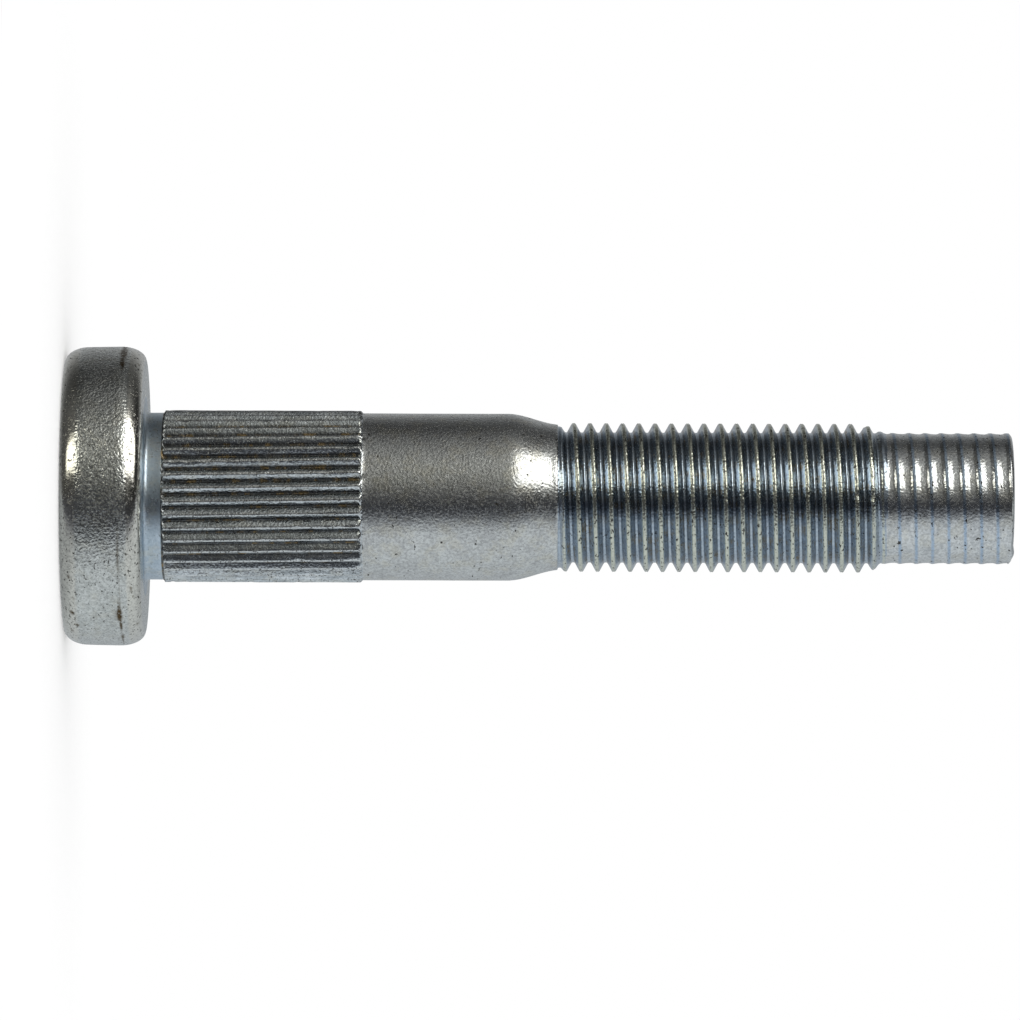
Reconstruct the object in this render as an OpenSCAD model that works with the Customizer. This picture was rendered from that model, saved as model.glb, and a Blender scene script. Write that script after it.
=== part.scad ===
// Press-in wheel stud: one cold-headed, thread-rolled and zinc-plated steel piece.
// Millimetres. The stud stands on the flat outer face of its head, which is z = 0,
// with its axis on +Z and the threaded end up.

/* [Head] */
// Diameter of the head's rim where it is widest
head_d = 27.6; // [22:0.1:40]
// Height from the head's outer face to the face that bears on the hub flange
head_h = 7.35; // [5.5:0.05:12]
// Radial size of the rounding at the outer face
head_outer_round_r = 1.3; // [0.3:0.05:3]
// Axial size of the rounding at the outer face
head_outer_round_h = 2.2; // [0.5:0.05:2.6]
// Radial size of the rounding at the bearing face
head_inner_round_r = 1.25; // [0.3:0.05:2]
// Axial size of the rounding at the bearing face
head_inner_round_h = 2.25; // [0.5:0.05:2.6]
// How much smaller the rim's radius is where the outer rounding ends than at its widest
head_draft = 0.05; // [0:0.01:0.3]
// Distance of the flash line from the bearing face
flash_from_seat = 1.88; // [0.8:0.02:2.2]
// Height of the flash line over the rim
flash_rise = 0.02; // [0.01:0.01:0.15]
// Half the width of the flash line's foot
flash_w = 0.25; // [0.1:0.05:0.5]

/* [Neck] */
// Length of the plain neck between the bearing face and the serrations
neck_l = 1.6; // [1:0.05:6]
// Radius of the fillet between the bearing face and the neck
root_fillet = 0.5; // [0.2:0.05:0.8]

/* [Serrations] */
// Diameter over the serrations
serration_d = 15.84; // [15.6:0.02:16.2]
// Length of the serrated section
serration_l = 18.48; // [4:0.02:24]
// Number of serrations round the stud
serration_count = 39; // [24:1:44]
// Depth of a groove from the serrations' crests
serration_depth = 0.52; // [0.3:0.01:0.6]
// Included angle of a groove
serration_angle = 92; // [60:1:100]
// Lean of the serrations from the axis
serration_lean = 0.95; // [-2:0.05:2]
// Turn of the serrations round the axis
serration_turn = 263.6; // [0:0.1:360]
// Length of the chamfer at each end of the serrations
serration_chamfer = 0.6; // [0.2:0.05:1.5]
// Length of the ramp on which a groove runs out at the shank
groove_runout = 0.35; // [0.1:0.05:1]

/* [Shank] */
// Diameter of the plain shank, and of the neck under the head
shank_d = 15.38; // [14:0.02:15.6]
// Length of the plain shank between the serrations and the taper
shank_l = 13.32; // [2:0.02:60]
// Length of the taper down to the thread
taper_l = 4.6; // [2:0.05:8]
// How much lower the taper's small end lies than the thread's crests
taper_end_drop = 0.16; // [0.05:0.01:0.3]

/* [Thread] */
// Major diameter as measured over the plated crests
thread_d = 13.72; // [12.6:0.02:15]
// Pitch, one start
pitch = 1.5; // [1.25:0.05:2]
// Depth of the thread from crest to root
thread_depth = 0.87; // [0.5:0.01:1.1]
// Flat width at the crest
crest_w = 0.28; // [0.1:0.01:0.4]
// Flat width at the root
root_w = 0.26; // [0.1:0.01:0.4]
// Length of the threaded section, run-in and run-out included
thread_l = 29.6; // [10:0.1:60]
// Turn of the thread round the axis
thread_turn = 190; // [0:1:360]
// Height over which the thread grows to full depth, in pitches
run_in = 0.6; // [0.3:0.05:1.5]
// Height over which the thread fades out at the pilot, in pitches
run_out = 1.6; // [0.8:0.05:2]

/* [Pilot] */
// Diameter of the plain pilot at the tip
pilot_d = 12.1; // [9:0.05:12.8]
// Length of the pilot
pilot_l = 12.3; // [4:0.1:20]
// Rounding of the pilot's end
pilot_round = 0.5; // [0.2:0.05:1.5]

/* [Hidden] */

// steel under a bright zinc coat
zinc = [0.62, 0.64, 0.66];
// points in one rounded corner of the turned profile
round_steps = 8;
// points along the S-curve of the taper
taper_steps = 12;
// share of a full S that the taper uses before it meets the thread
taper_share = 0.92;
// flat sides round one turn of the thread
thread_sides = 24;
// how much the rolling dies push the crests up over a blank half way up the thread
blank_rise = 0.1;
// how far the thread's ends lie under the surface of the piece that they run into
sunk = 0.06;
// how far a groove's cutter reaches out past the crests
cutter_margin = 0.3;
// how far the thread's skin reaches into the taper and into the pilot, in pitches
reach_low = 0.25;
reach_high = 0.75;
// where its first row starts under the taper's end, in pitches
first_row = 0.1;

head_r = head_d / 2;
flash_z = head_h - flash_from_seat;
shank_r = shank_d / 2;
serration_r = serration_d / 2;
serration_z = head_h + neck_l;
serration_end = serration_z + serration_l;
taper_z = serration_end + shank_l;
taper_end = taper_z + taper_l;
crest_r = thread_d / 2;
root_r = crest_r - thread_depth;
taper_end_r = crest_r - taper_end_drop;
blank_r = (crest_r + root_r) / 2 + blank_rise;
pilot_r = pilot_d / 2;
pilot_z = taper_end + thread_l;
tip_z = pilot_z + pilot_l;
// the four corners of the thread form, along one pitch
flank = (pitch - crest_w - root_w) / 2;
form_stops = [0, crest_w, crest_w + flank, crest_w + flank + root_w];

// a quarter of an ellipse round (cr, cz), from the first angle to the second
function corner(cr, cz, rr, rz, from, to) =
  [for (i = [0 : round_steps])
    let (a = from + (to - from) * i / round_steps)
    [cr + rr * cos(a), cz + rz * sin(a)]];

// smooth step: 0 at and below 0, 1 at and above 1, level at both ends
function ease(t) = let (u = max(0, min(1, t))) u * u * (3 - 2 * u);

// radius of the rim at a height: straight, then falling off on the inner rounding
function rim_r(z) =
  let (t = max(0, z - head_h + head_inner_round_h) / head_inner_round_h)
  head_r - head_inner_round_r * (1 - sqrt(1 - t * t));

// half section of the head, neck, serrated collar, shank and taper
body_profile = concat(
  [[0, 0]],
  corner(head_r - head_draft - head_outer_round_r, head_outer_round_h,
         head_outer_round_r, head_outer_round_h, -90, 0),
  [[rim_r(flash_z - flash_w), flash_z - flash_w],
   [rim_r(flash_z) + flash_rise, flash_z - flash_w / 4],
   [rim_r(flash_z) + flash_rise, flash_z + flash_w / 4],
   [rim_r(flash_z + flash_w), flash_z + flash_w]],
  [for (p = corner(head_r - head_inner_round_r, head_h - head_inner_round_h,
                   head_inner_round_r, head_inner_round_h, 0, 90))
    if (p[1] > flash_z + flash_w) p],
  corner(shank_r + root_fillet, head_h + root_fillet, root_fillet, root_fillet, -90, -180),
  [[shank_r, serration_z],
   [serration_r, serration_z + serration_chamfer],
   [serration_r, serration_end - serration_chamfer],
   [shank_r, serration_end]],
  [for (i = [0 : taper_steps])
    let (t = i / taper_steps, drop = ease(t * taper_share) / ease(taper_share))
    [shank_r + (taper_end_r - shank_r) * drop, taper_z + taper_l * t]],
  [[0, taper_end]]
);

// one V groove of the serrations, with a ramp at each end, its bottom edge along the axis
module serration_groove() {
  mouth_r = serration_r + cutter_margin;
  bottom_r = serration_r - serration_depth;
  half_w = (mouth_r - bottom_r) * tan(serration_angle / 2);
  half_l = serration_l / 2;
  flare = groove_runout * (mouth_r - bottom_r) / (shank_r - bottom_r);
  polyhedron(
    points = [
      [bottom_r, 0, groove_runout - half_l],
      [mouth_r, -half_w, groove_runout - flare - half_l],
      [mouth_r, half_w, groove_runout - flare - half_l],
      [bottom_r, 0, half_l - groove_runout],
      [mouth_r, -half_w, half_l - groove_runout + flare],
      [mouth_r, half_w, half_l - groove_runout + flare]
    ],
    faces = [[0, 1, 2], [3, 5, 4], [0, 3, 4, 1], [0, 2, 5, 3], [1, 4, 5, 2]]
  );
}

module serrations() {
  for (i = [0 : serration_count - 1])
    rotate([0, 0, serration_turn + (i + 0.5) * 360 / serration_count])
      translate([0, 0, serration_z + serration_l / 2])
        rotate([serration_lean, 0, 0])
          serration_groove();
}

// radius of the thread's skin at a height: corner 0 and 1 of the form are its crest, and
// corner 2 and 3 its root
function thread_r(z, corner) =
  let (start = ease((z - taper_end) / (run_in * pitch)),
       stop = ease((pilot_z + reach_high * pitch - z) / (run_out * pitch)),
       low = blank_r - sunk,
       full = corner < 2 ? crest_r : root_r,
       rolled = low + (full - low) * start,
       end_r = pilot_r - sunk)
  end_r + (rolled - end_r) * stop;

// the rolled thread as one closed skin: a sheared grid that follows the helix, closed by
// a flat ring of points inside the taper and another inside the pilot
module thread() {
  n = thread_sides;
  m = len(form_stops);
  z_low = taper_end - reach_low * pitch;
  z_high = pilot_z + reach_high * pitch;
  first = taper_end - first_row * pitch;
  rows = m * floor((z_high - first) / pitch - 1) + 1;
  skin = [for (i = [0 : n - 1]) for (j = [0 : rows - 1])
    let (a = 360 * i / n + thread_turn,
         z = first + pitch * (floor(j / m) + i / n) + form_stops[j % m],
         r = thread_r(z, j % m))
    [r * cos(a), r * sin(a), z]];
  low_r = root_r - sunk;
  high_r = pilot_r - sunk;
  low_ring = [for (i = [0 : n - 1])
    let (a = 360 * i / n + thread_turn) [low_r * cos(a), low_r * sin(a), z_low]];
  high_ring = [for (i = [0 : n - 1])
    let (a = 360 * i / n + thread_turn) [high_r * cos(a), high_r * sin(a), z_high]];
  lo = n * rows;
  hi = lo + n;
  sides = [for (i = [0 : n - 2]) for (j = [0 : rows - 2])
    each [[i * rows + j, i * rows + j + 1, (i + 1) * rows + j + 1],
          [i * rows + j, (i + 1) * rows + j + 1, (i + 1) * rows + j]]];
  // the last column joins the first one turn further up
  seam = [for (j = [0 : rows - 2 - m])
    each [[(n - 1) * rows + j, (n - 1) * rows + j + 1, j + 1 + m],
          [(n - 1) * rows + j, j + 1 + m, j + m]]];
  low_band = [for (i = [0 : n - 2])
    each [[lo + i, i * rows, (i + 1) * rows], [lo + i, (i + 1) * rows, lo + i + 1]]];
  low_step = concat(
    [[lo + n - 1, (n - 1) * rows, lo], [lo, (n - 1) * rows, 0]],
    [for (j = [0 : m - 1]) [j, (n - 1) * rows, j + 1]]);
  top = rows - 1;
  high_band = [for (i = [0 : n - 2])
    each [[hi + i, (i + 1) * rows + top, i * rows + top],
          [hi + i, hi + i + 1, (i + 1) * rows + top]]];
  high_step = concat(
    [[hi + n - 1, top, (n - 1) * rows + top], [hi + n - 1, hi, top]],
    [for (j = [0 : m - 1]) [top, (n - 1) * rows + top - m + j + 1, (n - 1) * rows + top - m + j]]);
  caps = [[for (i = [0 : n - 1]) lo + i], [for (i = [0 : n - 1]) hi + n - 1 - i]];
  polyhedron(points = concat(skin, low_ring, high_ring),
             faces = concat(sides, seam, low_band, low_step, high_band, high_step, caps));
}

module pilot() {
  rotate_extrude()
    polygon(concat(
      [[0, pilot_z], [pilot_r, pilot_z]],
      corner(pilot_r - pilot_round, tip_z - pilot_round, pilot_round, pilot_round, 0, 90),
      [[0, tip_z]]));
}

module stud() {
  color(zinc) {
    difference() {
      rotate_extrude() polygon(body_profile);
      serrations();
    }
    thread();
    pilot();
  }
}

stud();
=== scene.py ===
# %% [markdown]
# # A zinc-plated wheel stud
# This lesson dresses one small steel part: the stud that is pressed into a wheel hub and takes
# the wheel nut. It was cold-headed from bar, its serrations and its thread were rolled, and it
# was plated with zinc. The exact solid is loaded first, and it sets every size. The script then
# makes one finer skin for it, with the rounded crests, die marks and nicks that a step file has
# no use for, and gives that skin a plated finish. The set comes last: a floor, a tent of light
# for the metal to mirror, one soft lamp and a camera.

# %% Load the fixed solid
import bpy
import bmesh
import math
import numpy as np
from mathutils import Matrix, Vector, noise


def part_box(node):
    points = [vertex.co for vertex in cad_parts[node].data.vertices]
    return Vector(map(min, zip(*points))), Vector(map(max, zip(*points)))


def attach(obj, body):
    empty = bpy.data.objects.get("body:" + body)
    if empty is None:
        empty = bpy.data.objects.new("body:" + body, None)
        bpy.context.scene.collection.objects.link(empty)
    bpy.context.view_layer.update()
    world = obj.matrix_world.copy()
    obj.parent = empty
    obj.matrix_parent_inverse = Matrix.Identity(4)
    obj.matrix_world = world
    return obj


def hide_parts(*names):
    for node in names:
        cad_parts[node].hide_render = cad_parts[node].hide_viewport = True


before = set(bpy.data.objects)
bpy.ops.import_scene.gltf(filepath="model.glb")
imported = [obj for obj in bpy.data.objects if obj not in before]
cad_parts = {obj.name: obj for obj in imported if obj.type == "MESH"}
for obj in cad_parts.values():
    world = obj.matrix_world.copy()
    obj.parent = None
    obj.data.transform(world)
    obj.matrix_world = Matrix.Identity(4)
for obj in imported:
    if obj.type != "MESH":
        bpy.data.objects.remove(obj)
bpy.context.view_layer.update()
MM = 0.001
low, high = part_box("stud")
length = high.z / MM
print(f"the solid is {length:.1f} mm long and {(high.x - low.x) / MM:.1f} mm wide")

# %% [markdown]
# ## The measures
# A stud is described by a few diameters and by how far up each feature starts. They are kept
# together here, in millimetres, because a maker reads them together on a drawing. Heights are
# from the head's outer face, which is where the stud stands. Angles round the stud start at +X
# and go towards +Y, so the side that faces the camera is at 270 degrees.

# %% Driving sizes, in millimetres
head_r = 13.8
head_h = 7.35
flash_z = 5.47  # the flash line of the heading die
shank_r = 7.69
serration_r = 7.92
serration_z = 8.95
serration_end = 27.43
serration_count = 39
serration_depth = 0.52
serration_lean = math.radians(0.95)
serration_mid = 18.2
serration_turn = math.radians(263.6)  # angle of one crest, at that middle height
taper_z = 40.75
taper_end = 45.35
taper_end_r = 6.70
crest_r = 6.86
thread_depth = 0.87
root_r = crest_r - thread_depth
blank_r = crest_r - thread_depth / 2 + 0.1  # the plain bar that the thread was rolled on
pitch = 1.5
crest_z_at_x = 1.02  # a crest passes +X at this height, and a pitch higher each turn
pilot_r = 6.05
pilot_z = 74.95
tip_round = 0.5
print(serration_count, "serrations, and a thread of", 2 * crest_r, "mm by", pitch, "mm")

# %% [markdown]
# ## Small helpers
# Four little functions are used all over. `ease` is a step with soft ends, `wander` is smooth
# noise that gives the same value at the same place in each run, `near` says how close a place is
# to a mark, from 1 on it to 0 outside its reach, and `quarter` walks round a rounded corner.

# %% Helpers for shapes
def ease(t):
    t = np.clip(t, 0.0, 1.0)
    return t * t * (3 - 2 * t)


def wander(points, scale, seed):
    offset = Vector((seed * 17.3, seed * 5.1, seed * 9.7))
    return np.array([noise.noise(Vector(p) * scale + offset) for p in points])


def near(distance, reach):
    return 1 - ease(np.abs(distance) / reach)


def quarter(centre, radial, axial, start, end, steps):
    """Points of a rounded corner as (radius, height) pairs."""
    angles = np.radians(np.linspace(start, end, steps + 1))
    return [(centre[0] + radial * math.cos(a), centre[1] + axial * math.sin(a)) for a in angles]


print("a corner in 2 steps:", quarter((0, 0), 1, 1, 0, 90, 2))

# %% [markdown]
# ## One skin out of rings
# The stud is round, so its skin is a stack of rings. A plain section needs few points round it,
# and the serrations need many, so the rings have different counts. Two rings are joined by
# walking round both at once, and always stepping on the one that is behind. This keeps the skin
# closed from the head to the tip, where separate objects would leave seams. Each face also keeps
# the number of its finish, and each point keeps three marks from 0 to 1: how deep in a hollow it
# lies, which sets both its painted shade and its brown stain, how much of a raised land it is,
# and how much of a brown blot lies on it.

# %% A skin that grows ring by ring
class Skin:
    def __init__(self):
        self.points, self.faces, self.finish = [], [], []
        self.marks = {"hollow": [], "land": [], "blot": []}

    def ring(self, points, **marks):
        first = len(self.points)
        self.points.extend(map(tuple, points))
        for label, values in self.marks.items():
            values.extend(marks.get(label, np.zeros(len(points))))
        return np.arange(first, first + len(points))

    def face(self, corners, finish):
        self.faces.append(tuple(int(c) for c in corners))
        self.finish.append(finish)

    def join(self, lower, upper, finish):
        if len(lower) == len(upper):
            for i in range(len(lower)):
                j = (i + 1) % len(lower)
                self.face((lower[i], lower[j], upper[j], upper[i]), finish)
            return
        self.stitch(self.by_angle(lower), self.by_angle(upper), finish)

    def by_angle(self, ring):
        turn = [math.atan2(self.points[i][1], self.points[i][0]) % (2 * math.pi) for i in ring]
        order = np.argsort(turn)
        return [(turn[i], ring[i]) for i in order]

    def stitch(self, lower, upper, finish):
        full = 2 * math.pi
        below = lower + [(lower[0][0] + full, lower[0][1])]
        above = upper + [(upper[0][0] + full, upper[0][1])]
        i = j = 0
        while i < len(lower) or j < len(upper):
            step_below = j == len(upper) or (i < len(lower) and below[i + 1][0] <= above[j + 1][0])
            if step_below:
                self.face((below[i][1], below[i + 1][1], above[j][1]), finish)
                i += 1
            else:
                self.face((below[i][1], above[j + 1][1], above[j][1]), finish)
                j += 1


def circle(radius, height, count):
    a = np.arange(count) * 2 * math.pi / count
    return np.stack([radius * np.cos(a), radius * np.sin(a), np.full(count, height)], 1)


stud = Skin()
HEAD, NECK, COLLAR, SHANK, THREAD, PILOT = range(6)
round_count = 216
print("points round a plain ring:", round_count)

# %% [markdown]
# ## The head
# A cold-headed stud's head is upset in a die, so its edges are soft, its rim is a little
# barrelled, and a thin line of flash stands where the two halves of the die met. One half
# profile, read from the outside face up to the neck, is turned round the axis. A curve with a
# screw modifier could do the same. Plain pairs of radius and height are used instead, because
# the skin can take its rings straight from them. All heights and radii are in millimetres.

# %% Profile of the head and the neck
rim_true = head_r - 0.03


def rim_r(height):
    """Radius of the rim: straight, then falling off on the rounding at the bearing face."""
    t = max(0.0, height - head_h + 2.25) / 2.25
    return rim_true - 1.25 * (1 - math.sqrt(1 - t * t))


outer = quarter((rim_true - 0.05 - 1.3, 2.2), 1.3, 2.2, -90, 0, 14)
rim = [(rim_true - 0.04 + 0.04 * t, 2.2 + 2.9 * t) for t in (0.2, 0.4, 0.6, 0.8, 1.0)]
flash = [(rim_r(flash_z + d) + rise, flash_z + d)
         for d, rise in ((-0.22, 0), (-0.1, 0.004), (0.0, -0.008), (0.1, 0.002), (0.2, 0), (0.34, 0))]
inner = [(rim_r(z), z) for z in (6.0, 6.25, 6.5, 6.72, 6.92, 7.08, 7.2, 7.29, 7.34)]
bearing = [(r, head_h) for r in (12.4, 12.0, 10.6, 9.2)]
fillet = quarter((shank_r + 0.5, head_h + 0.5), 0.5, 0.5, -90, -180, 8)
neck = [(shank_r, z) for z in (8.1, 8.35, 8.6)]
face_rings = [(r, 0.0) for r in (3.0, 6.0, 9.0, 11.3)]
head_profile = face_rings + outer + rim + flash + inner + bearing
neck_profile = fillet + neck
print("the head's profile has", len(head_profile), "points")

# %% [markdown]
# ## Blots and thin zinc
# Oil and scale left brown blots along the flash line, and a few small ones on the roundings.
# Two long thin ones draw a grey-brown line along the seam itself, which is brown stain and
# painted shade of the seam together.
# They are listed one by one, because noise alone would not keep to the line. On the two
# roundings of the head the zinc is thin, smooth and a little yellow, which counts as a land.
# Both are written on the points, and the finish reads them from there.

# %% Marks on the head
# each blot: angle round the stud in degrees, height, reach round and along in mm, strength
blots = [(197, 5.5, 3.4, 0.55, 1.0), (208, 5.45, 2.2, 0.40, 1.0), (186, 5.5, 1.8, 0.35, 1.0),
         (322, 5.35, 1.9, 0.46, 1.0), (329, 5.45, 2.2, 0.22, 0.9), (317, 5.3, 1.6, 0.24, 0.7),
         # 318 and 292 degrees below are long thin lines along the seam: partly brown stain, partly
         # painted shade
         (340, 5.5, 1.2, 0.26, 0.8), (318, 5.45, 9.0, 0.15, 0.40), (292, 5.35, 6.0, 0.26, 0.50),
         (322, 1.0, 0.6, 0.40, 0.9), (314, 1.2, 0.4, 0.30, 0.7), (330, 1.4, 0.5, 0.40, 0.9),
         (303, 0.9, 0.5, 0.30, 0.7), (296, 1.3, 0.3, 0.25, 0.7), (336, 0.9, 0.6, 0.30, 0.8),
         (309, 6.5, 0.5, 0.30, 0.8), (313, 6.7, 0.3, 0.25, 0.9), (332, 6.9, 0.4, 0.30, 0.7),
         (344, 5.5, 3.0, 0.14, 0.7), (205, 6.9, 0.5, 0.25, 0.7), (40, 5.5, 2.0, 0.40, 1.0),
         (62, 1.1, 0.8, 0.50, 1.0), (108, 5.4, 1.6, 0.30, 1.0), (140, 6.6, 0.6, 0.40, 1.0),
         (20, 3.1, 0.5, 0.40, 0.8)]


def blot_at(points):
    turn = np.arctan2(points[:, 1], points[:, 0])
    total = np.zeros(len(points))
    for degrees, height, round_reach, along_reach, strength in blots:
        gap = (turn - math.radians(degrees) + math.pi) % (2 * math.pi) - math.pi
        away = np.hypot(gap * head_r / round_reach, (points[:, 2] - height) / along_reach)
        total = np.maximum(total, strength * (1 - ease(away)))
    return total


def edge_warmth(height):
    """1 on the two roundings of the head, where the zinc is thin and yellowish."""
    return float(ease((1.9 - height) / 0.8) + ease((height - 5.8) / 0.5)) if height < head_h else 0.0


print("blots on the head:", len(blots))

# %% [markdown]
# ## Turning
# Each point of a profile becomes one ring. A turned or headed surface is never quite true, so a
# slow wander of a hundredth of a millimetre or two moves each ring a little. It can't be seen as
# a shape, but it keeps the highlights alive.

# %% Turn the head and the neck
def turned(profile, count, finish, below, rough=0.02):
    for radius, height in profile:
        points = circle(radius, height, count)
        drift = rough * wander(points, 0.16, 3) + 0.3 * rough * wander(points, 0.9, 4)
        points[:, :2] *= (1 + ease(height / 0.6) * drift / radius)[:, None]
        blot = blot_at(points) if height < head_h else np.zeros(count)
        ring = stud.ring(points, blot=blot, land=np.full(count, edge_warmth(height)))
        stud.join(below, ring, finish)
        below = ring
    return below


centre = stud.ring([(0.0, 0.0, 0.0)])
first_ring = stud.ring(circle(1.5, 0.0, round_count))
for i in range(round_count):
    stud.face((centre[0], first_ring[(i + 1) % round_count], first_ring[i]), HEAD)
last = turned(head_profile, round_count, HEAD, first_ring)
last = turned(neck_profile, round_count, NECK, last, rough=0.01)
print("head and neck:", len(stud.faces), "faces")

# %% [markdown]
# ## The serrations
# The press fit is a collar of V grooves that lean one degree from the axis. A boolean could cut
# them, but it leaves ragged triangles along the crests. Here the columns of the mesh lean with
# the grooves, so that each crest and each root is a clean row of points. A groove is cut below
# the plain shank and ends in a short ramp. The crests have a steep chamfer towards the head and
# a longer one towards the thread. They were rolled, not cut: they wave a little and are crushed
# in places. The roots get painted shade with some dirt in it, more on one flank than on the
# other, and the corner where the collar starts next to the head gets painted shade as well.

# %% Spacing of the serrations
# across one groove: 0 is its root, and -1 and 1 are the crests beside it
across_tooth = np.array([-1, -0.93, -0.86, -0.74, -0.45, -0.12, 0, 0.12, 0.45, 0.74, 0.86, 0.93])
tooth_angle = 2 * math.pi / serration_count
half_pitch = tooth_angle / 2 * serration_r
groove_slope = math.tan(math.radians(44))
ends = np.array([0.0, 0.06, 0.14, 0.24, 0.36, 0.5, 0.7, 0.95])
serration_rows = np.concatenate([
    serration_z + ends, np.linspace(serration_z + 1.2, serration_end - 1.2, 38),
    serration_end - ends[::-1]])
print("the collar has", len(serration_rows), "rows of", serration_count * len(across_tooth), "points")


# %% Roll the serrations
def serration_ring(height):
    tooth, column = np.divmod(np.arange(serration_count * len(across_tooth)), len(across_tooth))
    across = across_tooth[column]
    lean = (height - serration_mid) * math.tan(serration_lean) / serration_r
    a = serration_turn + (tooth + 0.5 + across / 2) * tooth_angle - lean
    level = np.full(len(a), height)
    flat = np.stack([np.cos(a) * serration_r, np.sin(a) * serration_r, level], 1)
    wave = wander(flat * [1, 1, 0.5], 0.9, 11)
    crushed = np.clip(wander(flat * [1, 1, 0.7], 2.6, 12) - 0.22, 0, 1)
    past_start, before_end = height - serration_z - 0.1, serration_end - height
    end = min(past_start, before_end)
    chamfer = 0.14 if past_start < before_end else 0.3
    crest = shank_r + (serration_r - shank_r) * ease(end / chamfer) + 0.02 * wave - 0.22 * crushed
    ramp = max(0.0, chamfer - end) * 0.45 / chamfer
    root = serration_r - serration_depth + 0.05 * wave + ramp
    wall = root + ((np.abs(across) * half_pitch) ** 2 + 0.015 ** 2) ** 0.5 * groove_slope
    soft = 0.022  # the edge between a wall and a crest is this soft, in mm
    r = crest - soft * np.log1p(np.exp(np.clip((crest - wall) / soft, -30, 30)))
    r = np.full(len(a), shank_r) if end <= 0 else r
    deep = (serration_r - r) / serration_depth
    # painted shade: deeper in each root, more on one flank, and in the collar's first corner
    hollow = ease((deep - 0.14 * np.sign(across) - 0.44) / 0.5) * ease(end / 0.2)
    hollow = np.maximum(hollow, near(past_start - 0.04, 0.24))
    land = ease((r - crest) / 0.05 + 1) * ease(end / 0.15)
    points = np.stack([np.cos(a) * r, np.sin(a) * r, level], 1)
    return stud.ring(points, hollow=hollow, land=land)


for height in serration_rows:
    ring = serration_ring(height)
    stud.join(last, ring, COLLAR if height > serration_z + 0.1 else NECK)
    last = ring
print("with the serrations:", len(stud.faces), "faces")

# %% [markdown]
# ## The shank and the taper
# Above the serrations the stud is plain, and then draws in through a soft S to the diameter that
# the thread was rolled on. A rolled thread starts from a blank that lies half way between its
# crests and its roots, which is why the taper ends above the thread's root.

# %% Turn the shank and the taper
shank = [(shank_r, z) for z in np.linspace(serration_end + 0.4, taper_z, 9)]
taper = [(shank_r + (taper_end_r - shank_r) * ease(0.92 * t) / ease(0.92),
          taper_z + (taper_end - taper_z) * t - 0.06) for t in np.linspace(0, 1, 23)[1:]]
last = turned(shank + taper, round_count, SHANK, last, rough=0.012)
print("with the shank:", len(stud.faces), "faces")

# %% [markdown]
# ## The thread
# The thread is right-hand, and was rolled: its crests are round, with a fine seam where the
# metal met. A screw modifier would give the helix, but not the soft run-in and run-out, so the
# form is written as a height over the root at each distance from the crest. Averaging it over a
# short stretch rounds its corners.

# %% The form of the thread
# both in mm from the crest's middle: where a flank ends at the root, and where it starts
flank_reach = 0.61
crest_half = 0.14


def thread_form(offset):
    """Height over the root, from 0 to 1, at a distance in mm from the crest's middle."""
    height = np.zeros_like(offset)
    blur = np.linspace(-0.065, 0.065, 7)
    for b in blur:
        distance = np.abs(offset + b)
        height += np.clip((flank_reach - distance) / (flank_reach - crest_half), 0, 1)
    return height / len(blur)


print("the crests stand", thread_depth, "mm over the roots")

# %% [markdown]
# ## Nicks and die marks
# Handling left nicks in the crests, most of them near the tip, and they are listed one by one.
# The rolling dies also ran over the pilot, and left shallow scallops at the pitch of the thread.
# Each scallop falls softly, has a flat floor and rises quickly to a low ridge, and the ridge
# looks blue. It is only tinted and not cut, because a cut line would catch the light.

# %% The surface of the thread and the pilot
# each nick: angle round the stud in degrees, height, reach and depth in mm
nicks = [(258, 72.2, 0.55, 0.20), (268, 72.7, 0.40, 0.18), (268, 74.0, 0.40, 0.20),
         (281, 73.6, 0.6, 0.22), (289, 72.4, 0.4, 0.14), (250, 73.9, 0.5, 0.18),
         (262, 56.4, 0.35, 0.10), (300, 62.7, 0.4, 0.12), (243, 67.2, 0.35, 0.10),
         (318, 50.1, 0.4, 0.10), (95, 58.2, 0.5, 0.16), (130, 69.5, 0.45, 0.14),
         (30, 64.0, 0.5, 0.15), (190, 53.4, 0.4, 0.12), (184, 73.7, 1.3, 0.36), (172, 73.6, 1.2, 0.3)]
mark_at = -0.63  # where a scallop starts, in mm from the crest's middle


def thread_surface(angle, height, offset):
    """Radius, mark of painted shade and brown stain, and land of the thread and the pilot at many
    places at once.
    """
    form = thread_form(offset)
    around = np.stack([np.cos(angle) * crest_r, np.sin(angle) * crest_r, height], 1)
    wave = wander(around, 1.3, 21)
    grit = wander(around, 5.0, 22)
    start = ease((height - taper_end + 0.05) / (0.55 * pitch))
    stop = ease((pilot_z + 0.5 * pitch - height) / (1.3 * pitch))
    seam = near(offset, 0.07) * (0.035 + 0.03 * grit)
    full = root_r + thread_depth * form + form * (0.018 * wave) - seam
    rolled = blank_r + (full - blank_r) * start
    past = (offset - mark_at) % pitch
    dish = np.interp(past, [0, 0.07, 0.58, 0.8, 1.02, 1.12, 1.38, 1.5],
                     [0.008, 0, 0.088, 0.095, 0.108, 0.105, 0.004, 0.008])
    marked = pilot_r - 0.015 - dish * (1 + 0.25 * wave) + 0.008 * wave
    r = marked + (rolled - marked) * stop
    for degrees, nick_z, reach, depth in nicks:
        turn = np.radians(degrees)
        gap = (angle - turn + math.pi) % (2 * math.pi) - math.pi
        distance = np.hypot(gap * crest_r, (height - nick_z) * 1.2)
        r = r - depth * near(distance, reach) * form * stop
    # a band on each flank beside the root: painted shade there, and where the brown stain may lie
    hollow = near(np.abs(offset) - 0.52, 0.17) * start * stop
    blue_line = near(np.minimum(past + 0.03, pitch - past), 0.34)
    land = np.maximum(ease((form - 0.75) / 0.25) * start * stop, blue_line * (1 - stop))
    return r, hollow, land


print("nicks:", len(nicks))

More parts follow.
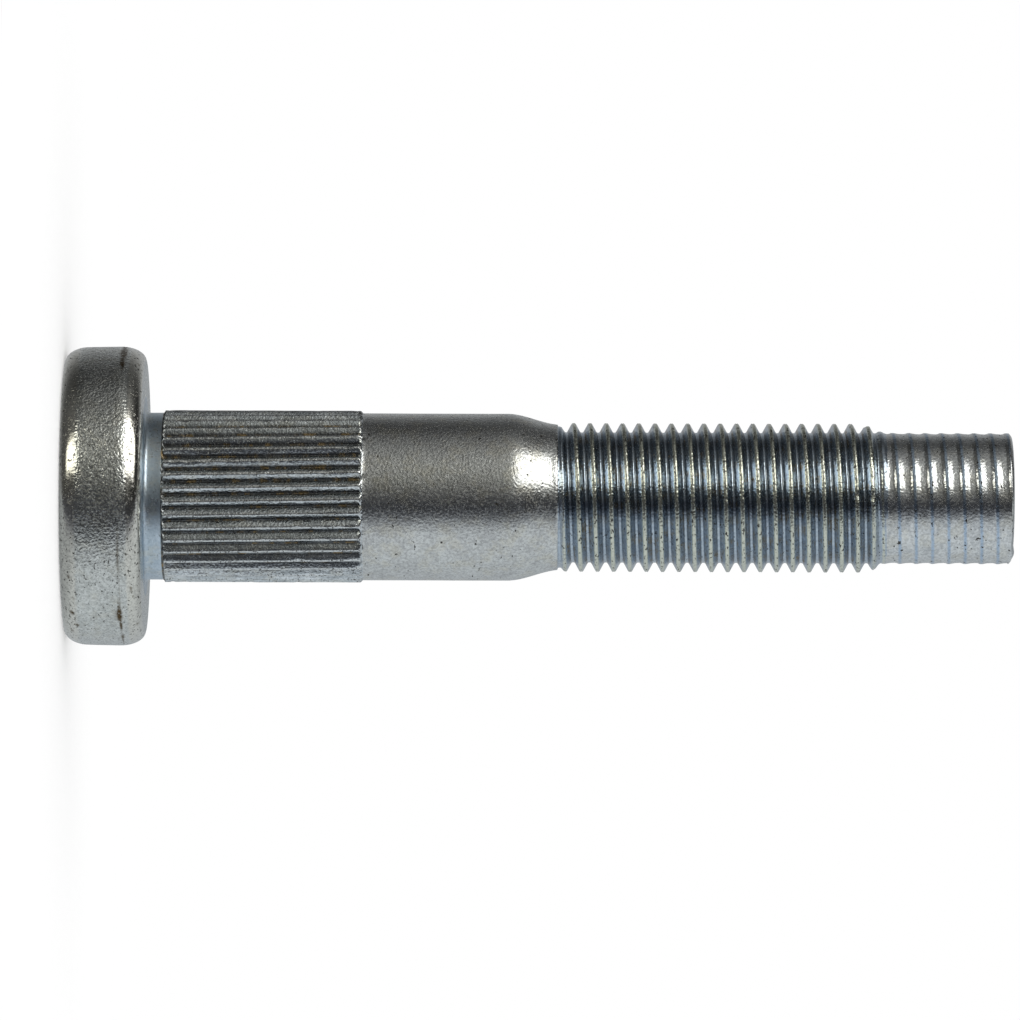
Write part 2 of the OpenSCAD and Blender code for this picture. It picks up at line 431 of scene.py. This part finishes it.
# %% [markdown]
# ## Rows that climb with the thread
# A helix gives a poor mesh when it is cut across by level rings, because each crest then runs
# through the faces at a slant. Here the rows climb with the thread instead: one turn further
# round, a row meets the row that is one pitch higher. The same rows carry on up the pilot.

# %% Where the rows of the thread lie
thread_count = 130
# rows of one turn, in mm over the crest: close together on the crest and in the root
row_offsets = np.array([0, 0.09, 0.18, 0.38, 0.56, 0.66, 0.75, 0.82, 0.88, 0.95, 1.03, 1.14,
                        1.32, 1.41])
rows_per_turn = len(row_offsets)
pilot_top = length - tip_round
first_turn = math.floor((taper_end - crest_z_at_x) / pitch) - 2
last_turn = math.ceil((pilot_top - crest_z_at_x) / pitch) + 1
row_count = (last_turn - first_turn) * rows_per_turn


def helical_rows():
    column, row = np.meshgrid(np.arange(thread_count), np.arange(row_count), indexing="ij")
    angle = column * 2 * math.pi / thread_count
    offset = row_offsets[row % rows_per_turn]
    turn = first_turn + row // rows_per_turn
    height = crest_z_at_x + pitch * (turn + column / thread_count) + offset
    offset = (offset + pitch / 2) % pitch - pitch / 2
    return angle.ravel(), height.ravel(), offset.ravel()


print("rows of the thread and the pilot:", row_count, "with", thread_count, "points in a turn")

# %% [markdown]
# ## Trimmed level and stitched on
# The climbing rows end in a step, and the rings beside them are level. So the thread is made a
# little long, as a small mesh of its own, and cut level at both ends. A plane cut carries the
# marks over to its new points. The open edges are then stitched to the ring below and, later,
# to the tip.

# %% Roll the thread and the pilot in one skin
def trimmed_thread():
    angle, height, offset = helical_rows()
    r, hollow, land = thread_surface(angle, height, offset)
    mesh = bmesh.new()
    layers = [mesh.verts.layers.float.new(label) for label in ("hollow", "land")]
    corners = []
    for i in range(len(r)):
        corner = mesh.verts.new((r[i] * math.cos(angle[i]), r[i] * math.sin(angle[i]), height[i]))
        corner[layers[0]], corner[layers[1]] = hollow[i], land[i]
        corners.append(corner)
    for column in range(thread_count):
        wraps = column == thread_count - 1
        for row in range(row_count - 1):
            a = corners[column * row_count + row]
            b = corners[column * row_count + row + 1]
            right = row + rows_per_turn if wraps else row
            if right + 1 >= row_count:
                continue
            base = 0 if wraps else (column + 1) * row_count
            mesh.faces.new((a, corners[base + right], corners[base + right + 1], b))
    for level, side in ((taper_end + 0.02, 1), (pilot_top, -1)):
        everything = mesh.verts[:] + mesh.edges[:] + mesh.faces[:]
        bmesh.ops.bisect_plane(mesh, geom=everything, dist=1e-7, plane_co=(0, 0, level),
                               plane_no=(0, 0, side), clear_inner=True)
    return mesh, layers


def add_thread(below):
    mesh, layers = trimmed_thread()
    mesh.verts.ensure_lookup_table()
    points = [tuple(v.co) for v in mesh.verts]
    hollow, land = ([v[layer] for v in mesh.verts] for layer in layers)
    ring = stud.ring(points, hollow=hollow, land=land)
    for face in mesh.faces:
        top = max(v.co.z for v in face.verts)
        stud.face([ring[v.index] for v in face.verts], THREAD if top < pilot_z + 0.6 else PILOT)
    edge = [v.index for v in mesh.verts if any(e.is_boundary for e in v.link_edges)]
    bottom = ring[[i for i in edge if points[i][2] < taper_end + 0.1]]
    top = ring[[i for i in edge if points[i][2] > pilot_top - 0.1]]
    mesh.free()
    stud.stitch(stud.by_angle(below), stud.by_angle(bottom), THREAD)
    return top


last = add_thread(last)
print("with the thread and the pilot:", len(stud.faces), "faces")

# %% [markdown]
# ## The tip
# The pilot ends in a small rounded corner and an end face. On this stud the corner has been
# knocked: a lip of metal stands up on one side and reaches the full length, and the rest of the
# end face lies a little lower. The rings are the same for both, and only the lip's share differs.

# %% Close the tip
lip_turn = math.radians(333)
lip_up = 0.13  # how far the lip stands over the end face, in mm
tip_inset = 0.02  # keeps the lip's small bulge inside the pilot's size
tip_count = 160
tip_profile = quarter((pilot_r - tip_round, length - tip_round), tip_round, tip_round, 12, 90, 8)
tip_profile += [(r, length) for r in (4.2, 2.8, 1.4)]
for radius, height in tip_profile:
    points = circle(radius - tip_inset, height, tip_count)
    turn = np.arange(tip_count) * 2 * math.pi / tip_count
    lip = near((turn - lip_turn + math.pi) % (2 * math.pi) - math.pi, 0.22)
    lip = lip * (radius > 5)
    sunk = ease((radius < pilot_r - 0.02) * (height - length + 0.5) / 0.4)
    points[:, 2] -= lip_up * (1 - lip) * sunk
    bulge = 0.06 * lip * near(height - length + 0.2, 0.3)
    points[:, :2] *= (1 + bulge / radius + 0.006 * wander(points, 1.1, 31) / radius)[:, None]
    ring = stud.ring(points)
    stud.join(last, ring, PILOT)
    last = ring
middle = stud.ring([(0.0, 0.0, length - lip_up)])
for i in range(len(last)):
    stud.face((last[i], last[(i + 1) % len(last)], middle[0]), PILOT)
print("the whole skin:", len(stud.faces), "faces")

# %% [markdown]
# ## From the skin to an object
# The points go from millimetres to metres here, once. The three marks of each point are kept as
# attributes of the mesh, so that the finish can be darker in the roots, worn on the crests and
# brown at the flash line without any painted picture.

# %% Make the mesh
def as_object(skin, name):
    mesh = bpy.data.meshes.new(name)
    mesh.from_pydata([tuple(c * MM for c in p) for p in skin.points], [], skin.faces)
    for label, values in skin.marks.items():
        layer = mesh.attributes.new(label, "FLOAT", "POINT")
        layer.data.foreach_set("value", np.array(values, np.float32))
    mesh.polygons.foreach_set("material_index", np.array(skin.finish, np.int32))
    mesh.polygons.foreach_set("use_smooth", np.ones(len(skin.faces), bool))
    mesh.validate()
    thing = bpy.data.objects.new(name, mesh)
    bpy.context.scene.collection.objects.link(thing)
    return thing


stud_piece = as_object(stud, "wheel_stud")
triangles = sum(len(f) - 2 for f in stud.faces)
print("the stud has", triangles, "triangles")

# %% [markdown]
# ## The finish
# Bright zinc over steel is a satin metal with a faint blue cast. Close up it is never even: it
# has a fine grain, small dark pits, cloudy patches and, in the hollows, a brown stain of old
# oil. A picture of metal could be wrapped on, but it would stretch over the thread. The finish
# is built from noise instead, and a few short helpers keep its node trees easy to read: `add`
# makes a node, `noise_at` reads noise at a place, `span` maps one range to another with soft
# ends, `maths` joins two values and `blend` mixes two colours.

# %% Helpers for materials
def add(tree, kind, **settings):
    node = tree.nodes.new(kind)
    for key, value in settings.items():
        if key in node.inputs:
            node.inputs[key].default_value = value
        else:
            setattr(node, key, value)
    return node


def noise_at(tree, place, scale, detail=3.0, rough=0.6):
    node = add(tree, "ShaderNodeTexNoise", Scale=scale, Detail=detail, Roughness=rough)
    tree.links.new(place, node.inputs["Vector"])
    return node.outputs["Fac"]


def span(tree, value, low_in, high_in, low_out=0.0, high_out=1.0):
    node = add(tree, "ShaderNodeMapRange", clamp=True, interpolation_type="SMOOTHSTEP")
    tree.links.new(value, node.inputs["Value"])
    for key, number in zip(("From Min", "From Max", "To Min", "To Max"),
                           (low_in, high_in, low_out, high_out)):
        node.inputs[key].default_value = number
    return node.outputs["Result"]


def maths(tree, operation, first, second):
    node = add(tree, "ShaderNodeMath", operation=operation)
    for socket, value in zip(node.inputs, (first, second)):
        if isinstance(value, (int, float)):
            socket.default_value = value
        else:
            tree.links.new(value, socket)
    return node.outputs["Value"]


def blend(tree, amount, first, second):
    node = add(tree, "ShaderNodeMix", data_type="RGBA")
    tree.links.new(amount, node.inputs["Factor"])
    for socket, value in ((node.inputs["A"], first), (node.inputs["B"], second)):
        if isinstance(value, tuple):
            socket.default_value = (*value, 1.0)
        else:
            tree.links.new(value, socket)
    return node.outputs["Result"]


print("helpers for materials are ready")

# %% [markdown]
# ## Places and marks
# The noise is read in millimetres of the stud's own space, so that a pit keeps its size whatever
# the mesh does. A stretched copy of that space gives a drawn-out grain or longer pits. The marks
# that the skin keeps on its points come in as attributes.

# %% Spaces for the noise, and the marks
def in_millimetres(tree):
    place = add(tree, "ShaderNodeTexCoord").outputs["Object"]
    node = add(tree, "ShaderNodeVectorMath", operation="SCALE", Scale=1000.0)
    tree.links.new(place, node.inputs[0])
    return node.outputs["Vector"]


def stretched(tree, place, factors):
    node = add(tree, "ShaderNodeVectorMath", operation="MULTIPLY")
    node.inputs[1].default_value = factors
    tree.links.new(place, node.inputs[0])
    return node.outputs["Vector"]


def marks_of(tree):
    return (add(tree, "ShaderNodeAttribute", attribute_name=label).outputs["Fac"]
            for label in ("hollow", "land", "blot"))


print("the noise is read in millimetres")

# %% [markdown]
# ## Clouds, pits and brown stains
# Each of these is a mask from 0 to 1. The pits are the highest peaks of a coarse noise, so a
# little more or less of it changes how many there are. The stain needs a hollow, and the blots
# need a mark, but both are broken up by noise, because a stain with an even edge looks painted.

# %% The masks
def clouds(tree, place, fine):
    cloud = noise_at(tree, place, 0.35, 4.0)
    return maths(tree, "ADD", maths(tree, "MULTIPLY", cloud, 0.4), maths(tree, "MULTIPLY", fine, 0.6))


def small_pits(tree, place, land, land_pits, pit_size, rarity, strength):
    speck = noise_at(tree, stretched(tree, place, (0.8, 0.8, 1.4)), pit_size, 2.0)
    speck = maths(tree, "ADD", speck, maths(tree, "MULTIPLY", land, land_pits))
    return span(tree, speck, 0.62 + rarity, 0.69 + rarity, 0.0, strength)


def stain_in_hollows(tree, place, hollow, strength):
    patch = span(tree, noise_at(tree, place, 0.8, 5.0, 0.7), 0.50, 0.62)
    return maths(tree, "MULTIPLY", span(tree, hollow, 0.35, 0.9, 0.0, strength), patch)


def broken_blots(tree, place, blot):
    uneven = span(tree, noise_at(tree, place, 2.2, 4.0), 0.30, 0.46)
    return maths(tree, "MULTIPLY", span(tree, blot, 0.05, 0.8), uneven)


print("masks: clouds, pits, stain and blots")

# %% [markdown]
# ## The plated metal
# One function builds the metal. `pale` and `deep` are the two colours of its clouds, and
# `land_colour` is that of raised, rubbed places. `grain` is how dark the grit is, and `bump` how
# high it stands, in mm. `pits`, `pit_size` and `rarity` are how dark, how fine and how rare the
# pits are. `haze` is how strong the pale yellowish patches are, and `stain` is the brown in the
# hollows. `shade` is how strong the painted shade in the hollows is, with some dirt in it.
# `etch` roughens some patches. `along` under 1 draws the grain out along the stud. `land_bump`
# and `land_pits` say how much grit and how many pits the raised places keep.

# %% Build the plated finish
grit_scale = 4.5  # grains of the noise in a millimetre, the same for every part
haze_colour = (0.66, 0.63, 0.52)
grit_colour = (0.16, 0.16, 0.16)
shade_and_dirt_colour = (0.05, 0.05, 0.05)
pit_colour = (0.05, 0.045, 0.04)
stain_colour = (0.30, 0.21, 0.09)
# brown blots, and along the seam a line that is partly painted shade
blot_colour = (0.085, 0.055, 0.022)


def plated(name, pale, deep, land_colour, grain, pits, stain, shade, roughness, bump,
           along=1.0, land_bump=1.0, land_pits=0.06, etch=0.0, pit_size=5.0,
           rarity=0.0, haze=0.3):
    material = bpy.data.materials.new(name)
    material.use_nodes = True
    tree = material.node_tree
    shader = tree.nodes["Principled BSDF"]
    shader.inputs["Metallic"].default_value = 1.0
    place = in_millimetres(tree)
    hollow, land, blot = marks_of(tree)
    fine = noise_at(tree, stretched(tree, place, (1.0, 1.0, along)), 3.2, 3.0)
    grit = noise_at(tree, place, grit_scale, 1.0, 0.5)
    tone = clouds(tree, place, fine)
    dark = small_pits(tree, place, land, land_pits, pit_size, rarity, pits)
    stained = stain_in_hollows(tree, place, hollow, stain)
    broken = broken_blots(tree, place, blot)

    # colour: from the clouds up to the darkest marks
    colour = blend(tree, span(tree, tone, 0.36, 0.62), deep, pale)
    patchy = noise_at(tree, place, 0.55, 4.0, 0.7)
    colour = blend(tree, span(tree, patchy, 0.47, 0.64, 0.0, haze), colour, haze_colour)
    worn = maths(tree, "ADD", land, fine)
    colour = blend(tree, span(tree, worn, 0.7, 1.5), colour, land_colour)
    colour = blend(tree, span(tree, grit, 0.35, 0.58, grain, 0.0), colour, grit_colour)
    # painted shade in the hollows, with some dirt in it: near black where the mark is high
    colour = blend(tree, span(tree, hollow, 0.15, 0.9, 0.0, shade), colour, shade_and_dirt_colour)
    for mask, paint in ((dark, pit_colour), (stained, stain_colour), (broken, blot_colour)):
        colour = blend(tree, mask, colour, paint)
    tree.links.new(colour, shader.inputs["Base Color"])

    # roughness: pits, etched patches and brown marks are duller than the rest
    gloss = span(tree, tone, 0.3, 0.7, roughness + 0.06, roughness - 0.04)
    gloss = maths(tree, "ADD", gloss, maths(tree, "MULTIPLY", dark, 0.3))
    etched = noise_at(tree, place, 5.0, 1.0, 0.5)
    etched = maths(tree, "SUBTRACT", etched, maths(tree, "MULTIPLY", land, 0.22))
    gloss = maths(tree, "ADD", gloss, span(tree, etched, 0.50, 0.62, 0.0, etch))
    browned = maths(tree, "MAXIMUM", stained, broken)
    gloss = maths(tree, "ADD", gloss, maths(tree, "MULTIPLY", browned, 0.15))
    tree.links.new(gloss, shader.inputs["Roughness"])

    # relief: the grit stands up, and the pits are sunk
    surface = maths(tree, "ADD", grit, maths(tree, "MULTIPLY", fine, 0.25))
    surface = maths(tree, "MULTIPLY", surface, span(tree, land, 0.0, 1.0, 1.0, land_bump))
    surface = maths(tree, "SUBTRACT", surface, maths(tree, "MULTIPLY", dark, 0.3))
    relief = add(tree, "ShaderNodeBump", Strength=1.0, Distance=bump * MM)
    tree.links.new(surface, relief.inputs["Height"])
    tree.links.new(relief.outputs["Normal"], shader.inputs["Normal"])
    return material


print("one function for all the plating")

# %% [markdown]
# ## Six finishes
# The whole stud was plated in one bath, and still its parts look different, because the steel
# under the zinc does. The head is coarse from the heading die, with yellowish roundings. The
# neck is smooth and blue. The serrations are drawn out along the stud, with painted shade and
# some dirt in the roots. The shank has few but large pits. The thread's flanks are smooth and
# bluish, with painted shade beside the roots, and its crests are rough, and the pilot is bright,
# with blue ridges. Each part has its own settings for that.

# %% The six finishes
finishes = [
    plated("plated_head", pale=(0.73, 0.75, 0.73), deep=(0.54, 0.56, 0.54),
           land_colour=(0.74, 0.73, 0.67), grain=0.30, pits=0.85, stain=0.6, shade=0.0,
           roughness=0.12, bump=0.060, land_bump=0.12, land_pits=0.035, etch=0.20,
           pit_size=3.2, rarity=0.01, haze=0.25),
    plated("plated_neck", pale=(0.56, 0.65, 0.73), deep=(0.46, 0.55, 0.63),
           land_colour=(0.66, 0.66, 0.62), grain=0.05, pits=0.5, stain=0.6, shade=0.0,
           roughness=0.30, bump=0.012),
    plated("plated_collar", pale=(0.75, 0.80, 0.83), deep=(0.44, 0.48, 0.50),
           land_colour=(0.68, 0.70, 0.70), grain=0.30, pits=0.8, stain=0.8, shade=0.80,
           roughness=0.16, bump=0.042, along=0.12),
    plated("plated_shank", pale=(0.70, 0.72, 0.71), deep=(0.53, 0.54, 0.54),
           land_colour=(0.66, 0.66, 0.62), grain=0.28, pits=0.95, stain=0.6, shade=0.0,
           roughness=0.17, bump=0.026, etch=0.16, pit_size=1.7, rarity=0.045, haze=0.4),
    plated("plated_thread", pale=(0.52, 0.60, 0.68), deep=(0.39, 0.46, 0.54),
           land_colour=(0.69, 0.71, 0.61), grain=0.15, pits=0.95, stain=0.8, shade=0.45,
           roughness=0.13, bump=0.020, land_bump=2.2, pit_size=3.2, rarity=0.018, haze=0.14),
    plated("plated_pilot", pale=(0.78, 0.80, 0.80), deep=(0.54, 0.56, 0.57),
           land_colour=(0.44, 0.55, 0.68), grain=0.25, pits=0.95, stain=0.5, shade=0.0,
           roughness=0.14, bump=0.024, etch=0.10, pit_size=2.0, rarity=0.03)]
for finish in finishes:
    stud_piece.data.materials.append(finish)
print("finishes:", [f.name for f in finishes])

# %% [markdown]
# ## Where it belongs
# The fine skin takes the place of the exact solid in the picture. The solid itself stays in the
# model for collision, so it is only hidden here, and never moved or changed.

# %% Put the piece on the part
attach(stud_piece, "root")
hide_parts("stud")
print("the piece rides on root")

# %% [markdown]
# ## The world
# The picture has a plain white background, and the world gives it. It also lights the floor
# evenly. A white card behind the stud would do as well, but it would cast and catch shadows.

# %% The white world
world = bpy.data.worlds.new("white_surround")
bpy.context.scene.world = world
world.use_nodes = True
world.node_tree.nodes["Background"].inputs["Color"].default_value = (1.0, 1.0, 1.0, 1.0)
world.node_tree.nodes["Background"].inputs["Strength"].default_value = 1.0
print("world:", world.name)

# %% [markdown]
# ## Seen in reflections, or not
# Bare metal has hardly any colour of its own: it shows what stands round it. So the metal needs
# surroundings that the camera must not see, and a floor that the metal must not mirror. The
# Light Path node tells whether a ray comes from a reflection, and a mix with clear does both.

# %% A material that only reflections see
def only_in_reflections(material, shader_output, mirror_sees_first=True):
    """Mixes a shader with clear, by whether the ray comes from a reflection."""
    tree = material.node_tree
    clear = add(tree, "ShaderNodeBsdfTransparent").outputs["BSDF"]
    seen = add(tree, "ShaderNodeLightPath").outputs["Is Glossy Ray"]
    mixed = add(tree, "ShaderNodeMixShader")
    first, second = (clear, shader_output) if mirror_sees_first else (shader_output, clear)
    tree.links.new(seen, mixed.inputs["Fac"])
    tree.links.new(first, mixed.inputs[1])
    tree.links.new(second, mixed.inputs[2])
    tree.links.new(mixed.outputs["Shader"], tree.nodes["Material Output"].inputs["Surface"])


print("clear or not, by the Light Path node")

# %% [markdown]
# ## The floor
# The stud stands on its head on a small pale disc, which keeps its soft shadow. A disc with a
# hard edge would show against the white, so it fades out into the world from the middle on.

# %% The floor
floor_r = 0.17
floor_z = -0.00002  # a hair under the head, so that the two faces don't lie in one plane
fade_from, fade_to = 0.15 * floor_r, 0.98 * floor_r
least_clear = 0.35  # how clear the floor is right under the stud
bpy.ops.mesh.primitive_circle_add(vertices=96, radius=floor_r, fill_type="NGON",
                                  location=(0, 0, floor_z))
floor = bpy.context.object
floor.name = "floor"


def floor_finish():
    material = bpy.data.materials.new("pale_floor")
    material.use_nodes = True
    tree = material.node_tree
    shader = tree.nodes["Principled BSDF"]
    shader.inputs["Base Color"].default_value = (0.98, 0.98, 0.98, 1.0)
    shader.inputs["Roughness"].default_value = 0.9
    shader.inputs["Specular IOR Level"].default_value = 0.0
    clear = add(tree, "ShaderNodeBsdfTransparent")
    place = add(tree, "ShaderNodeTexCoord").outputs["Object"]
    distance = add(tree, "ShaderNodeVectorMath", operation="LENGTH")
    tree.links.new(place, distance.inputs[0])
    fade = span(tree, distance.outputs["Value"], fade_from, fade_to, least_clear, 1.0)
    mixed = add(tree, "ShaderNodeMixShader")
    tree.links.new(fade, mixed.inputs["Fac"])
    tree.links.new(shader.outputs["BSDF"], mixed.inputs[1])
    tree.links.new(clear.outputs["BSDF"], mixed.inputs[2])
    only_in_reflections(material, mixed.outputs["Shader"], mirror_sees_first=False)
    return material


floor.data.materials.append(floor_finish())
print("floor:", floor_r, "m in radius")

# %% [markdown]
# ## How bright the tent is
# The stud mirrors a light tent: a large ball of cloth, palest below and grey in front, above and
# behind, with two dark gaps that draw the bands on the shank. Towards each end of the stud a
# bright panel with bowed sides gives the head, the taper and the pilot their highlights. A
# little below level the front is darker still, which only the head's rim shows. Area lamps
# could do this, but each would light the floor too. Here one function gives the colour of the
# cloth in any direction, and its numbers are easy to compare with the bands on real metal.

# %% Numbers for the tent
# angles are round the stud, in degrees: 0 is towards the camera, 90 is up in the picture
tent_angles = [-180, -160, -140, -120, -100, -80, -60, -50, -40, -30, -20, -10, 0,
               20, 40, 60, 80, 100, 112, 125, 140, 160, 180]
tent_levels = [0.42, 0.50, 0.57, 0.62, 0.67, 0.70, 0.70, 0.66, 0.46, 0.18, 0.05, 0.04, 0.13,
               0.31, 0.45, 0.38, 0.27, 0.12, 0.08, 0.10, 0.23, 0.42, 0.42]
end_angles = [-180, -100, -40, -20, 0, 60, 120, 180]
past_head = [0.30, 0.42, 0.38, 0.08, 0.06, 0.10, 0.08, 0.30]
past_tip = [0.25, 0.66, 0.60, 0.05, 0.03, 0.04, 0.03, 0.25]
tint_angles = [-180, -100, -40, -15, 0, 20, 60, 100, 180]
tint_red = [0.94, 0.94, 0.95, 0.96, 1.00, 1.00, 1.00, 0.99, 0.97]
tint_blue = [1.05, 1.04, 1.04, 1.15, 0.99, 0.92, 0.96, 1.00, 1.03]
low_front = 0.60
# each panel: its colour, its span round the stud, and its span of tilt from level, in degrees
tip_panel = ((2.7, 2.67, 2.55), (14, 76), (13, 68))
head_panel = ((2.4, 2.34, 2.05), (17, 56), (19, 63))
side_fade, near_fade, far_fade, most_bow = 12, 8, 10, 5  # how soft and how bowed a panel's edges are
ends_from, ends_over = 18, 35  # from this tilt on, over this much, the cloth turns into an end's
print("the tent's cloth goes from", min(tent_levels), "to", max(tent_levels))


# %% The colour of the cloth in one direction
def cloth_level(angle, tilt):
    level = float(np.interp(angle, tent_angles, tent_levels))
    past = float(np.interp(angle, end_angles, past_tip if tilt > 0 else past_head))
    below = ease((-tilt - 1.0) / 2.0) * ease((angle + 8) / 18) * ease((130 - angle) / 25)
    level *= 1 - low_front * float(below)
    return level + (past - level) * float(ease((abs(tilt) - ends_from) / ends_over))


def panel_share(angle, tilt, around, along):
    """1 on the panel, 0 off it, with sides that bow inwards away from its middle."""
    first, second = around
    round_it = ease((angle - first) / side_fade) * ease((second - angle) / side_fade)
    bow = most_bow * min(1.0, abs(2 * angle - first - second) / (second - first)) ** 2
    near_end, far_end = along[0] + bow, along[1] - bow
    along_it = ease((abs(tilt) - near_end) / near_fade) * ease((far_end - abs(tilt)) / far_fade)
    return float(round_it * along_it)


def tent_colour(x, y, z):
    angle = math.degrees(math.atan2(-x, -y))
    tilt = math.degrees(math.asin(max(-1.0, min(1.0, z))))
    red, blue = (np.interp(angle, tint_angles, tint) for tint in (tint_red, tint_blue))
    colour = cloth_level(angle, tilt) * np.array([red, 1.0, blue])
    panel, around, along = tip_panel if tilt > 0 else head_panel
    colour = colour + (np.array(panel) - colour) * panel_share(angle, tilt, around, along)
    return (*colour, 1.0)


print("cloth above the shank:", [round(float(c), 2) for c in tent_colour(-1.0, 0.0, 0.0)])

# %% [markdown]
# ## The tent itself
# A ball has no corners to mirror, and its points can carry the colours. It glows only for
# reflections, and it isn't sampled as a lamp, so it neither lights the floor nor adds noise.

# %% The light tent
tent_r = 1.0
half_way_up = 0.04


def make_tent():
    bpy.ops.mesh.primitive_uv_sphere_add(segments=120, ring_count=120, radius=tent_r,
                                         location=(0, 0, half_way_up))
    tent = bpy.context.object
    tent.name = "light_tent"
    paint = tent.data.color_attributes.new("cloth", "FLOAT_COLOR", "POINT")
    for corner, colour in zip(tent.data.vertices, paint.data):
        colour.color = tent_colour(*(corner.co / tent_r))
    material = bpy.data.materials.new("tent_cloth")
    material.use_nodes = True
    material.cycles.emission_sampling = "NONE"
    tree = material.node_tree
    tree.nodes.remove(tree.nodes["Principled BSDF"])
    glow = add(tree, "ShaderNodeEmission", Strength=1.0)
    cloth = add(tree, "ShaderNodeAttribute", attribute_name="cloth").outputs["Color"]
    tree.links.new(cloth, glow.inputs["Color"])
    only_in_reflections(material, glow.outputs["Emission"])
    tent.data.materials.append(material)


make_tent()
print("tent:", tent_r, "m in radius")

# %% [markdown]
# ## A lamp for the floor
# The world alone gives hardly any shadow. One large weak lamp overhead adds a soft one, and it
# is hidden from reflections, where its round face would show as a spot on the metal.

# %% The lamp
def lamp(name, direction, distance, size, power):
    data = bpy.data.lights.new(name, "AREA")
    data.shape, data.size, data.energy = "DISK", size, power
    thing = bpy.data.objects.new(name, data)
    bpy.context.scene.collection.objects.link(thing)
    toward = Vector(direction).normalized()
    thing.location = Vector((0, 0, half_way_up)) + toward * distance
    thing.rotation_euler = toward.to_track_quat("Z", "Y").to_euler()
    thing.visible_camera = False
    thing.visible_glossy = False


lamp("overhead_lamp", direction=(-0.3, -0.2, 0.9), distance=0.95, size=0.5, power=0.6)
print("one soft lamp")

# %% [markdown]
# ## Camera
# The photograph shows the stud lying across the frame, with its axis level. The part stands on
# its head, so the camera is turned a quarter round its line of sight instead: right in the
# picture is up the stud. A long lens from three quarters of a metre gives the flat perspective.
# A camera without perspective would lose the sliver of bearing face that shows at the neck.

# %% Camera
sensor_mm = 36.0
picture_width = 0.09402  # what the picture spans at the stud, in metres
distance = 0.76
sight = Vector((0.0012, 0.0, 0.04093))  # the middle of the picture
tilt = math.radians(-0.18)
camera_data = bpy.data.cameras.new("camera")
camera_data.sensor_width = sensor_mm
camera_data.lens = sensor_mm * distance / picture_width
camera_data.clip_start, camera_data.clip_end = 0.05, 10.0
camera = bpy.data.objects.new("camera", camera_data)
bpy.context.scene.collection.objects.link(camera)
right = Vector((math.sin(tilt), 0, math.cos(tilt)))
up = Vector((-math.cos(tilt), 0, math.sin(tilt)))
back = Vector((0, -1, 0))
turn = Matrix((right, up, back)).transposed().to_4x4()
camera.matrix_world = Matrix.Translation(sight + back * distance) @ turn
bpy.context.scene.camera = camera
bpy.context.scene.view_settings.view_transform = "Standard"
print("lens:", round(camera_data.lens), "mm")
